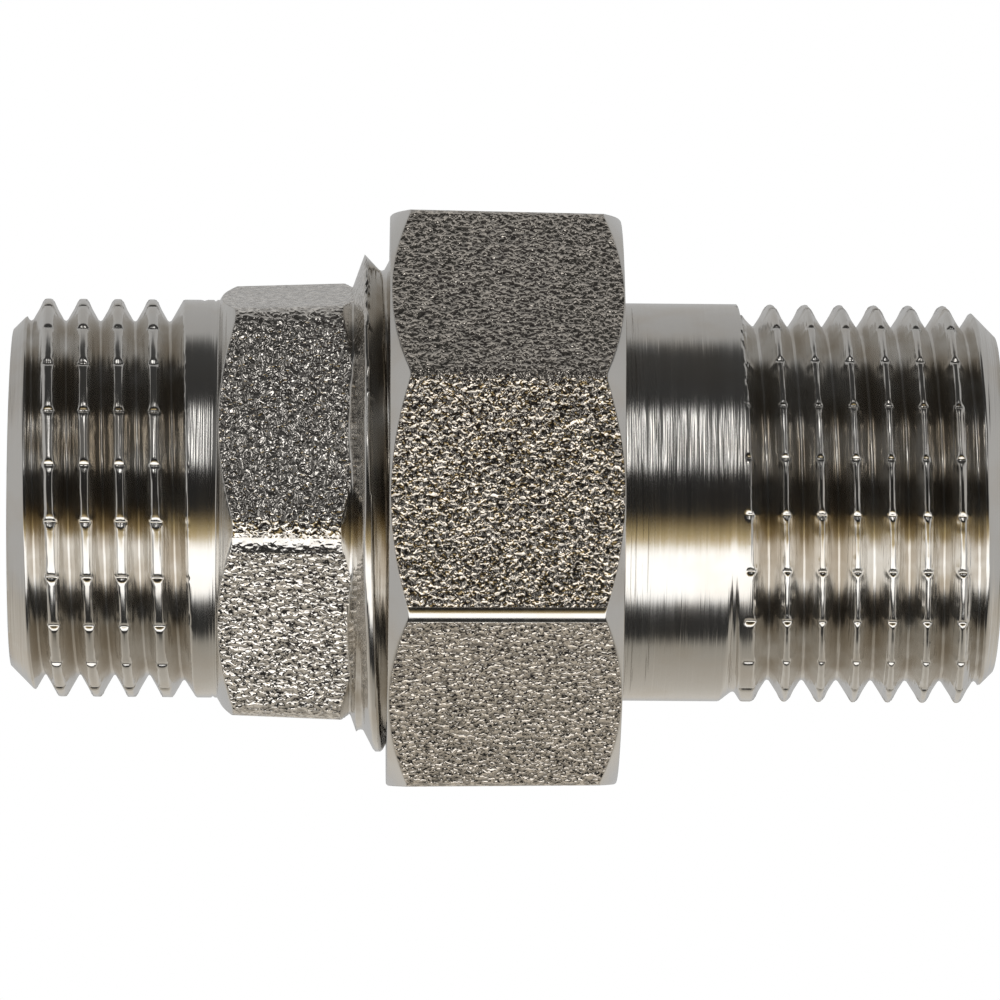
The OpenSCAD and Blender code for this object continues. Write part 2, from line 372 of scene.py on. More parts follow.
@dataclass(frozen=True)
class ForgedPrism:
    """A drafted forging with a regular outline and rounded corners."""

    sides: int
    flat_r: float
    corner_turn: float
    rounding: float
    start_x: float
    draft: float

    def radius(self, x: np.ndarray, angle: np.ndarray) -> np.ndarray:
        """Works out the distance from the axis to the skin.

        Args:
            x: places along the axis.
            angle: angles from the top towards the front.

        Returns:
            The radii.
        """
        half = math.pi / self.sides
        flat = self.flat_r + (x - self.start_x) * math.tan(self.draft)
        off = np.abs((angle - self.corner_turn) % (2 * half) - half)
        inner = flat - self.rounding
        corner = inner / math.cos(half)
        beside = half - off
        round_r = corner * np.cos(beside) + np.sqrt(
            np.maximum(self.rounding ** 2 - (corner * np.sin(beside)) ** 2, 0))
        return np.where(flat * np.tan(off) <= inner * math.tan(half), flat / np.cos(off), round_r)


# ---------------------------------------------------------------- threads


@dataclass(frozen=True)
class Thread:
    """One helical thread, cut by a node tree that every thread of the fitting shares.

    Radii are signed: positive on a male thread and negative inside a hole.
    """

    start_x: float
    end_x: float
    crest_q: float
    root_q: float
    crest_x: float
    start_q: float
    start_slope: float
    end_q: float
    end_slope: float
    pitch: float = 1.814 * MM
    per_turn: int = 18
    crest_flat: float = 0.30 * MM
    root_flat: float = 0.22 * MM
    flank_slope: float = math.tan(math.radians(27.5))
    runout_slope: float = math.tan(math.radians(27.5))
    rounding: float = 0.22 * MM
    edge_rounding: float = 0.08 * MM
    fade_in_turn: float = -100.0
    fade_in_turns: float = 0.5
    run_in_slope: float = 1.0
    run_in_turn: float = -100.0
    run_in_turns: float = 0.5
    fade_out_turn: float = 100.0
    fade_out_turns: float = 1.0
    notch_depth: float = 0.0
    notch_w: float = 0.4 * MM
    notch_swell: float = 0.0
    notch_start_x: float = 0.0
    notch_end_x: float = 0.0
    chatter: float = 0.0
    cone_skin: float = -1.0
    seed: int = 3

    TREE = "helical_thread"
    CELL_SNAP = 1e-4
    NOTCH_IDS = 31.0
    VIGOUR_LEAST = 0.7
    VIGOUR_SPREAD = 0.5
    SWELL_FALL = 0.55
    CREST_EASE = (0.2, 0.42)
    CHATTER_ALONG = 1500.0
    CHATTER_ROUND = 30.0
    CREST_SKIN = 0.02 * MM
    UNCUT = 0.02

    def values(self, rings: Rings) -> dict[str, float | int]:
        """Gathers the node tree's inputs.

        Args:
            rings: the angles of the piece that carries the thread.

        Returns:
            Each input's value, by name.
        """
        lead = self.pitch * rings.turn / TURN
        before = self.start_x - lead - self.pitch
        first = self.crest_x - self.pitch * math.ceil((self.crest_x - before) / self.pitch)
        step = self.pitch / self.per_turn
        columns = math.ceil((self.end_x - lead - first) / step)
        return {
            "Columns": columns + 1, "Rows": rings.count + 1, "First Column": first,
            "Column Span": columns * step, "Cells": rings.cells, "Cell Turn": rings.turn,
            "Cell Bunching": rings.bunching, "Start": self.start_x, "End": self.end_x,
            "Crest Radius": self.crest_q, "Root Radius": self.root_q, "Crest Station": self.crest_x,
            "Pitch": self.pitch, "Crest Flat": self.crest_flat, "Root Flat": self.root_flat,
            "Flank Slope": self.flank_slope, "Run-out Slope": self.runout_slope,
            "Rounding": self.rounding, "Edge Rounding": self.edge_rounding,
            "Start Radius": self.start_q, "Start Slope": self.start_slope,
            "End Radius": self.end_q, "End Slope": self.end_slope,
            "Fade In Turn": self.fade_in_turn, "Fade In Turns": self.fade_in_turns,
            "Run-in Slope": self.run_in_slope, "Run-in Turn": self.run_in_turn,
            "Run-in Turns": self.run_in_turns,
            "Fade Out Turn": self.fade_out_turn, "Fade Out Turns": self.fade_out_turns,
            "Notch Depth": self.notch_depth, "Notch Width": self.notch_w,
            "Notch Swell": self.notch_swell, "Notch Start": self.notch_start_x,
            "Notch End": self.notch_end_x, "Chatter": self.chatter, "Seed": self.seed,
        }

    @classmethod
    def tree(cls) -> bpy.types.NodeTree:
        """Builds the shared node tree, or finds it.

        Returns:
            The tree.
        """
        found = bpy.data.node_groups.get(cls.TREE)
        return found or cls.grow_tree()

    @classmethod
    def grow_tree(cls) -> bpy.types.NodeTree:
        """Builds the node tree that bends a grid into a thread.

        Returns:
            The new tree.
        """
        tree = bpy.data.node_groups.new(cls.TREE, "GeometryNodeTree")
        whole = {"Columns", "Rows", "Seed"}
        names = ("Columns", "Rows", "First Column", "Column Span", "Cells", "Cell Turn", "Cell Bunching",
                 "Start", "End", "Crest Radius", "Root Radius", "Crest Station", "Pitch", "Crest Flat",
                 "Root Flat", "Flank Slope", "Run-out Slope", "Rounding", "Edge Rounding", "Start Radius",
                 "Start Slope", "End Radius", "End Slope", "Fade In Turn", "Fade In Turns",
                 "Run-in Slope", "Run-in Turn", "Run-in Turns",
                 "Fade Out Turn", "Fade Out Turns", "Notch Depth", "Notch Width", "Notch Swell",
                 "Notch Start", "Notch End", "Chatter", "Seed")
        for name in names:
            kind = "NodeSocketInt" if name in whole else "NodeSocketFloat"
            tree.interface.new_socket(name=name, in_out="INPUT", socket_type=kind)
        tree.interface.new_socket(name="Finish", in_out="INPUT", socket_type="NodeSocketMaterial")
        tree.interface.new_socket(name="Geometry", in_out="OUTPUT", socket_type="NodeSocketGeometry")
        graph = Graph(tree)
        given = graph.node("NodeGroupInput").outputs
        grid = graph.node("GeometryNodeMeshGrid", {
            "Size X": 1.0, "Size Y": 1.0, "Vertices X": given["Columns"], "Vertices Y": given["Rows"]})
        x, angle, cell, off = cls.helix_place(graph, given)
        radius, depth = cls.thread_radius(graph, given, x, angle, cell, off)
        forward = graph.math("MULTIPLY", graph.math("SINE", angle), -1.0)
        bend = graph.combine(x, graph.math("MULTIPLY", radius, forward),
                             graph.math("MULTIPLY", radius, graph.math("COSINE", angle)))
        marked = graph.node("GeometryNodeStoreNamedAttribute",
                            {"Geometry": grid.outputs["Mesh"], "Name": "groove", "Value": depth})
        moved = graph.node("GeometryNodeSetPosition", {"Geometry": marked.outputs[0], "Position": bend})
        merged = graph.node("GeometryNodeMergeByDistance", {"Geometry": moved.outputs[0], "Distance": WELD})
        real = graph.node("GeometryNodeRealizeInstances", {"Geometry": merged.outputs[0]})
        dressed = graph.node("GeometryNodeSetMaterial",
                             {"Geometry": real.outputs[0], "Material": given["Finish"]})
        graph.node("NodeGroupOutput", {"Geometry": dressed.outputs[0]})
        return tree

    @staticmethod
    def helix_place(graph: Graph, given: object) -> tuple[Socket, Socket, Socket, Socket]:
        """Adds the nodes that place a grid vertex along the axis and round it.

        Args:
            graph: the tree's graph.
            given: the tree's inputs.

        Returns:
            The place along the axis, the angle, the cell's number and the angle off the cell's middle.
        """
        position = graph.node("GeometryNodeInputPosition").outputs[0]
        grid_place = graph.node("ShaderNodeSeparateXYZ", {0: position})
        along = graph.math("ADD", grid_place.outputs[0], 0.5)
        place = graph.math("MULTIPLY", graph.math("ADD", grid_place.outputs[1], 0.5), given["Cells"])
        cell = graph.math("FLOOR", graph.math("ADD", place, Thread.CELL_SNAP))
        off = graph.math("SUBTRACT", graph.math("SUBTRACT", place, cell), 0.5)
        wave = graph.math("DIVIDE", graph.math("SINE", graph.math("MULTIPLY", off, TURN)), TURN)
        warped = graph.math("SUBTRACT", off, graph.math("MULTIPLY", wave, given["Cell Bunching"]))
        cell_angle = graph.math("DIVIDE", TURN, given["Cells"])
        off_angle = graph.math("MULTIPLY", warped, cell_angle)
        middle = graph.math("MULTIPLY", graph.math("ADD", cell, 0.5), cell_angle)
        angle = graph.total(given["Cell Turn"], middle, off_angle)
        column = graph.math("MULTIPLY_ADD", along, given["Column Span"], given["First Column"])
        lead = graph.math("MULTIPLY", given["Pitch"], graph.math("DIVIDE", angle, TURN))
        x = graph.math("ADD", column, lead)
        x = graph.math("MINIMUM", graph.math("MAXIMUM", x, given["Start"]), given["End"])
        return x, angle, cell, off_angle

    @staticmethod
    def thread_radius(graph: Graph, given: object, x: Socket, angle: Socket, cell: Socket,
                      off: Socket) -> tuple[Socket, Socket]:
        """Adds the nodes that give the thread's radius.

        Args:
            graph: the tree's graph.
            given: the tree's inputs.
            x: the place along the axis.
            angle: the angle from the top towards the front.
            cell: the number of the cell that the angle is in.
            off: the angle off the middle of that cell.

        Returns:
            The radius, and how deep in the groove it lies from 0 to 1.
        """
        calc = graph.math
        turns = calc("DIVIDE", angle, TURN)
        from_crest = calc("DIVIDE", calc("SUBTRACT", x, given["Crest Station"]), given["Pitch"])
        wound = calc("SUBTRACT", from_crest, turns)
        groove_number = calc("FLOOR", wound)
        side = calc("SUBTRACT", calc("SUBTRACT", wound, groove_number), 0.5)
        groove_turn = graph.total(turns, groove_number, 1.0)
        opened = graph.ease(groove_turn, given["Fade In Turn"],
                            calc("ADD", given["Fade In Turn"], given["Fade In Turns"]))
        closed = graph.ease(groove_turn, given["Fade Out Turn"],
                            calc("ADD", given["Fade Out Turn"], given["Fade Out Turns"]))
        lost = calc("MAXIMUM", calc("SUBTRACT", 1.0, opened), closed)

        # Grip notches: a cut across the crest, with the metal it displaced beside it
        arc = calc("MULTIPLY", calc("ABSOLUTE", off), calc("ABSOLUTE", given["Crest Radius"]))
        reach = calc("DIVIDE", arc, calc("MULTIPLY", given["Notch Width"], 0.5))
        there = calc("MULTIPLY", calc("GREATER_THAN", x, given["Notch Start"]),
                     calc("LESS_THAN", x, given["Notch End"]))
        number = calc("MULTIPLY_ADD", calc("ROUND", wound), Thread.NOTCH_IDS, cell)
        luck = graph.node("FunctionNodeRandomValue", {"ID": number, "Seed": given["Seed"]}, data_type="FLOAT")
        vigour = calc("MULTIPLY_ADD", luck.outputs["Value"], Thread.VIGOUR_SPREAD, Thread.VIGOUR_LEAST)
        vigour = calc("MULTIPLY", vigour, there)
        cut = calc("SUBTRACT", 1.0, reach, clamp=True)
        cut = calc("MULTIPLY", calc("MULTIPLY", cut, given["Notch Depth"]), vigour)
        bulge = calc("SUBTRACT", 1.0, calc("MULTIPLY", reach, Thread.SWELL_FALL), clamp=True)
        bulge = calc("MULTIPLY", calc("MULTIPLY", bulge, given["Notch Swell"]), vigour)

        away = calc("MULTIPLY", calc("ABSOLUTE", side), given["Pitch"])
        high = graph.ease(calc("ABSOLUTE", side), *Thread.CREST_EASE)
        away = calc("ADD", away, calc("MULTIPLY", bulge, high))
        rough = graph.node("ShaderNodeTexNoise", {
            "Vector": graph.combine(calc("MULTIPLY", x, Thread.CHATTER_ALONG),
                                    calc("MULTIPLY", calc("SINE", angle), Thread.CHATTER_ROUND),
                                    calc("MULTIPLY", calc("COSINE", angle), Thread.CHATTER_ROUND)),
            "Scale": 1.0, "Detail": 2.0})
        wobble = calc("MULTIPLY", calc("SUBTRACT", rough.outputs[0], 0.5), given["Chatter"])
        away = calc("ADD", away, calc("MULTIPLY", wobble, high))
        right = calc("GREATER_THAN", side, 0.0)
        leading = calc("SUBTRACT", 1.0, graph.ease(groove_turn, given["Run-in Turn"],
                                                   calc("ADD", given["Run-in Turn"], given["Run-in Turns"])))
        leading = calc("MULTIPLY", leading, calc("SUBTRACT", 1.0, right))
        slope = calc("MULTIPLY_ADD", calc("MULTIPLY", right, closed),
                     calc("SUBTRACT", given["Run-out Slope"], given["Flank Slope"]), given["Flank Slope"])
        slope = calc("MULTIPLY_ADD", leading,
                     calc("SUBTRACT", given["Run-in Slope"], given["Flank Slope"]), slope)
        thread_depth = calc("SUBTRACT", given["Crest Radius"], given["Root Radius"])
        rise = calc("MULTIPLY_ADD", given["Rounding"], 2.0, thread_depth)
        bottom = calc("MULTIPLY_ADD", lost, rise, given["Root Radius"])
        flank = calc("DIVIDE", calc("SUBTRACT", away, calc("MULTIPLY", given["Root Flat"], 0.5)), slope)
        groove = calc("SMOOTH_MAX", bottom, calc("ADD", bottom, flank), given["Rounding"])
        crest = calc("SUBTRACT", given["Crest Radius"], cut)
        outline = calc("SMOOTH_MIN", crest, groove, given["Rounding"])
        depth = calc("DIVIDE", calc("SUBTRACT", given["Crest Radius"], outline), thread_depth, clamp=True)
        start = calc("MULTIPLY_ADD", calc("SUBTRACT", x, given["Start"]), given["Start Slope"],
                     given["Start Radius"])
        end = calc("MULTIPLY_ADD", calc("SUBTRACT", given["End"], x), given["End Slope"],
                   given["End Radius"])
        outline = calc("SMOOTH_MIN", outline, start, given["Edge Rounding"])
        outline = calc("SMOOTH_MIN", outline, end, given["Edge Rounding"])
        return calc("ABSOLUTE", outline), depth

    def cut(self, skin: Skin, material: bpy.types.Material, raised: Surface | None = None) -> None:
        """Cuts the thread and adds it to a piece's skin.

        Args:
            skin: the skin that carries the thread.
            material: the thread's finish.
            raised: a surface that stands out where it is further from the axis, or None.
        """
        tree = self.tree()
        blank = bpy.data.objects.new("thread_blank", bpy.data.meshes.new("thread_blank"))
        bpy.context.scene.collection.objects.link(blank)
        modifier = blank.modifiers.new("thread", "NODES")
        modifier.node_group = tree
        values = {**self.values(skin.rings), "Finish": material}
        for item in tree.interface.items_tree:
            if item.item_type == "SOCKET" and item.in_out == "INPUT":
                value = values[item.name]
                floating = item.socket_type == "NodeSocketFloat"
                modifier[item.identifier] = float(value) if floating else value
        bpy.context.view_layer.update()
        made = bpy.data.meshes.new_from_object(blank.evaluated_get(bpy.context.evaluated_depsgraph_get()))
        blank.modifiers.remove(modifier)
        places = np.empty(len(made.vertices) * 3, np.float32)
        made.vertices.foreach_get("co", places)
        places = places.reshape(-1, 3).astype(float)
        groove = np.empty(len(made.vertices), np.float32)
        made.attributes["groove"].data.foreach_get("value", groove)
        radius = np.hypot(places[:, 1], places[:, 2])
        below = (radius < abs(self.crest_q) - self.CREST_SKIN) & (groove < self.UNCUT)
        forged = np.where(below, self.cone_skin, -1.0)
        if raised is not None:
            angle = np.arctan2(-places[:, 1], places[:, 2])
            other, other_forged = raised(places[:, 0], angle)
            above = (other - radius) / MM
            scale = np.maximum(other / radius, 1.0)
            places[:, 1:] *= scale[:, None]
            forged = np.where(above > 0, np.minimum(other_forged, above), forged)
        skin.add(places, [tuple(face.vertices) for face in made.polygons], forged, groove)
        bpy.data.objects.remove(blank)
        bpy.data.meshes.remove(made)


# ---------------------------------------------------------------- finishes


class Marks(Enum):
    """The marks that a tool leaves on metal, each a shared shader group."""

    TURNING = "turning_marks"
    BLASTING = "blasted_grain"
    PLATING = "plating_tone"


class ShaderGroups:
    """Builds each shared shader group once."""

    @classmethod
    def get(cls, marks: Marks) -> bpy.types.NodeTree:
        """Finds a group, or builds it.

        Args:
            marks: which group.

        Returns:
            The group.
        """
        makers = {Marks.TURNING: cls.turning, Marks.BLASTING: cls.blasting, Marks.PLATING: cls.plating}
        return bpy.data.node_groups.get(marks.value) or makers[marks]()

    @staticmethod
    def start(marks: Marks, inputs: dict[str, float], outputs: Sequence[str]) -> tuple[Graph, object]:
        """Starts a group with a vector input, float inputs and float outputs.

        Args:
            marks: which group.
            inputs: float inputs with their usual values.
            outputs: names of the outputs.

        Returns:
            The group's graph and its inputs.
        """
        tree = bpy.data.node_groups.new(marks.value, "ShaderNodeTree")
        tree.interface.new_socket(name="Vector", in_out="INPUT", socket_type="NodeSocketVector")
        for name, value in inputs.items():
            socket = tree.interface.new_socket(name=name, in_out="INPUT", socket_type="NodeSocketFloat")
            socket.default_value = value
        for name in outputs:
            tree.interface.new_socket(name=name, in_out="OUTPUT", socket_type="NodeSocketFloat")
        graph = Graph(tree)
        return graph, graph.node("NodeGroupInput").outputs

    @classmethod
    def turning(cls) -> bpy.types.NodeTree:
        """Builds fine lines that run round the pipe axis.

        Returns:
            The group, with a height and a shade.
        """
        graph, given = cls.start(Marks.TURNING, {"Lines": 9000.0, "Wander": 0.02}, ("Height", "Shade"))
        place = graph.node("ShaderNodeSeparateXYZ", {0: given["Vector"]}).outputs
        heights = []
        for share, weight in ((1.0, 0.5), (0.31, 0.5)):
            scale = graph.math("MULTIPLY", given["Lines"], share)
            across = graph.math("MULTIPLY", scale, given["Wander"])
            lines = graph.node("ShaderNodeTexNoise", {
                "Vector": graph.combine(graph.math("MULTIPLY", place[0], scale),
                                        graph.math("MULTIPLY", place[1], across),
                                        graph.math("MULTIPLY", place[2], across)),
                "Scale": 1.0, "Detail": 2.0, "Roughness": 0.6})
            heights.append(graph.math("MULTIPLY", lines.outputs[0], weight))
        height = graph.total(*heights)
        shade = graph.ease(height, 0.35, 0.65)
        graph.node("NodeGroupOutput", {"Height": height, "Shade": shade})
        return graph.tree

    @classmethod
    def blasting(cls) -> bpy.types.NodeTree:
        """Builds the dense dimples of a shot-blasted forging.

        Returns:
            The group, with a height and a shade.
        """
        graph, given = cls.start(Marks.BLASTING, {"Grains": 4000.0, "Distortion": 0.4}, ("Height", "Shade"))
        coarse = graph.node("ShaderNodeTexNoise", {
            "Vector": given["Vector"], "Scale": given["Grains"], "Detail": 0.8, "Roughness": 0.5,
            "Distortion": given["Distortion"]}).outputs[0]
        patches = graph.node("ShaderNodeTexNoise", {
            "Vector": given["Vector"], "Scale": graph.math("MULTIPLY", given["Grains"], 0.28),
            "Detail": 1.0}).outputs[0]
        height = graph.math("MULTIPLY_ADD", patches, 0.35, coarse)
        shade = graph.ease(coarse, 0.36, 0.64)
        graph.node("NodeGroupOutput", {"Height": height, "Shade": shade})
        return graph.tree

    @classmethod
    def plating(cls) -> bpy.types.NodeTree:
        """Builds slow changes in the tone of the plating.

        Returns:
            The group, with a mask of warmer patches and a mask of a darker, browner tone in thread roots, in
            patches.
        """
        graph, given = cls.start(Marks.PLATING, {"Patches": 350.0, "Depth": 0.0}, ("Warmth", "Root Tone"))
        cloud = graph.node("ShaderNodeTexNoise", {
            "Vector": given["Vector"], "Scale": given["Patches"], "Detail": 3.0}).outputs[0]
        warmth = graph.ease(cloud, 0.42, 0.72)
        root_tone_mask = graph.math("MULTIPLY", graph.ease(given["Depth"], 0.25, 0.9), graph.ease(cloud, 0.3, 0.6))
        graph.node("NodeGroupOutput", {"Warmth": warmth, "Root Tone": root_tone_mask})
        return graph.tree


@dataclass(frozen=True)
class Nickel:
    """Nickel plate over brass: turned metal, with shot-blasted skin where the forging was left."""

    name: str
    tone: tuple[float, float, float] = (0.66, 0.64, 0.605)
    warm_tone: tuple[float, float, float] = (0.60, 0.54, 0.46)
    forged_tone: tuple[float, float, float] = (0.76, 0.71, 0.64)
    pit_tone: tuple[float, float, float] = (0.38, 0.35, 0.31)
    dark_root_tone: tuple[float, float, float] = (0.42, 0.37, 0.30)
    turned_roughness: float = 0.13
    blasted_roughness: float = 0.12
    lines: float = 4200.0
    line_depth: float = 0.1 * MM
    grains: float = 3500.0
    grain_depth: float = 0.2 * MM
    skin_blend: float = 0.03

    def build(self) -> bpy.types.Material:
        """Builds the material.

        Returns:
            The material.
        """
        material = bpy.data.materials.new(self.name)
        material.use_nodes = True
        tree = material.node_tree
        tree.nodes.clear()
        graph = Graph(tree)
        place = graph.node("ShaderNodeTexCoord").outputs["Object"]
        skin = graph.node("ShaderNodeAttribute", attribute_name="forged").outputs["Fac"]
        depth = graph.node("ShaderNodeAttribute", attribute_name="groove").outputs["Fac"]
        forged = graph.ease(skin, 0.0, self.skin_blend)
        turning = graph.node("ShaderNodeGroup", node_tree=ShaderGroups.get(Marks.TURNING))
        blasting = graph.node("ShaderNodeGroup", node_tree=ShaderGroups.get(Marks.BLASTING))
        plating = graph.node("ShaderNodeGroup", node_tree=ShaderGroups.get(Marks.PLATING))
        for group, values in ((turning, {"Vector": place, "Lines": self.lines}),
                              (blasting, {"Vector": place, "Grains": self.grains}),
                              (plating, {"Vector": place, "Depth": depth})):
            for name, value in values.items():
                graph.feed(group.inputs[name], value)
        colour = graph.mix(graph.math("MULTIPLY", plating.outputs["Warmth"], 0.45),
                           (*self.tone, 1), (*self.warm_tone, 1))
        # Darker, browner tone mixed in towards the thread roots, in patches.
        colour = graph.mix(graph.math("MULTIPLY", plating.outputs["Root Tone"], 0.7),
                           colour, (*self.dark_root_tone, 1))
        rough_tone = graph.mix(blasting.outputs["Shade"], (*self.pit_tone, 1), (*self.forged_tone, 1))
        colour = graph.mix(forged, colour, rough_tone)
        lined = graph.math("MULTIPLY", turning.outputs["Height"], self.line_depth)
        grained = graph.math("MULTIPLY", blasting.outputs["Height"], self.grain_depth)
        height = graph.math("MULTIPLY_ADD", forged, graph.math("SUBTRACT", grained, lined), lined)
        bump = graph.node("ShaderNodeBump", {"Strength": 1.0, "Distance": 1.0, "Height": height})
        spread_out = self.blasted_roughness - self.turned_roughness
        roughness = graph.math("MULTIPLY_ADD", forged, spread_out, self.turned_roughness)
        shade = graph.math("MULTIPLY", turning.outputs["Shade"], graph.math("SUBTRACT", 1.0, forged))
        roughness = graph.math("MULTIPLY_ADD", shade, 0.05, roughness)
        surface = graph.node("ShaderNodeBsdfPrincipled", {
            "Base Color": colour, "Metallic": 1.0, "Roughness": roughness, "Normal": bump.outputs[0]})
        graph.node("ShaderNodeOutputMaterial", {"Surface": surface.outputs[0]})
        return material


@dataclass(frozen=True)
class Rubber:
    """Black moulded rubber with a faint bloom."""

    name: str = "seal_rubber"
    tone: tuple[float, float, float] = (0.022, 0.022, 0.023)
    bloom: tuple[float, float, float] = (0.06, 0.06, 0.062)
    roughness: float = 0.5
    speck: float = 5000.0
    speck_depth: float = 0.006 * MM

    def build(self) -> bpy.types.Material:
        """Builds the material.

        Returns:
            The material.
        """
        material = bpy.data.materials.new(self.name)
        material.use_nodes = True
        tree = material.node_tree
        tree.nodes.clear()
        graph = Graph(tree)
        grain = graph.node("ShaderNodeGroup", node_tree=ShaderGroups.get(Marks.BLASTING))
        graph.feed(grain.inputs["Vector"], graph.node("ShaderNodeTexCoord").outputs["Object"])
        graph.feed(grain.inputs["Grains"], self.speck)
        colour = graph.mix(grain.outputs["Shade"], (*self.tone, 1), (*self.bloom, 1))
        height = graph.math("MULTIPLY", grain.outputs["Height"], self.speck_depth)
        bump = graph.node("ShaderNodeBump", {"Strength": 1.0, "Distance": 1.0, "Height": height})
        roughness = graph.math("MULTIPLY_ADD", grain.outputs["Shade"], 0.12, self.roughness)
        surface = graph.node("ShaderNodeBsdfPrincipled", {
            "Base Color": colour, "Roughness": roughness, "Normal": bump.outputs[0]})
        graph.node("ShaderNodeOutputMaterial", {"Surface": surface.outputs[0]})
        return material


# ---------------------------------------------------------------- sizes


@dataclass(frozen=True)
class Stations:
    """Places and radii that the pieces share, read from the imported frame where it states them."""

    end_r: float = 10.45 * MM
    end_root_r: float = 9.288 * MM
    end_face_r: float = 8.85 * MM
    pitch: float = 1.814 * MM
    left_end_x: float = field(default_factory=lambda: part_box("threaded_end")[0].x)
    union_end_x: float = field(default_factory=lambda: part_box("threaded_end")[1].x)
    union_r: float = field(default_factory=lambda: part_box("threaded_end")[1].z)
    nose_x: float = field(default_factory=lambda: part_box("tailpiece")[0].x)
    right_end_x: float = field(default_factory=lambda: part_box("tailpiece")[1].x)
    collar_r: float = field(default_factory=lambda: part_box("tailpiece")[1].z)
    nut_x: float = field(default_factory=lambda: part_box("union_nut")[0].x)
    nut_end_x: float = field(default_factory=lambda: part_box("union_nut")[1].x)
    nut_flat_r: float = field(default_factory=lambda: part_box("union_nut")[1].z)
    ring_mid_x: float = field(
        default_factory=lambda: (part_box("seat_o_ring")[0].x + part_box("seat_o_ring")[1].x) / 2)
    thread_h: float = 1.1616 * MM
    seat_angle: float = math.radians(30)
    seat_mouth_r: float = 11.0 * MM
    seat_gap: float = 0.1 * MM

    def seat_r(self, x: float) -> float:
        """Radius of the conical seat at a place on the axis."""
        return self.seat_mouth_r - (self.union_end_x - x) * math.tan(self.seat_angle)

    def nose_r(self, x: float) -> float:
        """Radius of the conical nose at a place on the axis."""
        return self.seat_r(x) - self.seat_gap / math.cos(self.seat_angle)


# ---------------------------------------------------------------- pieces


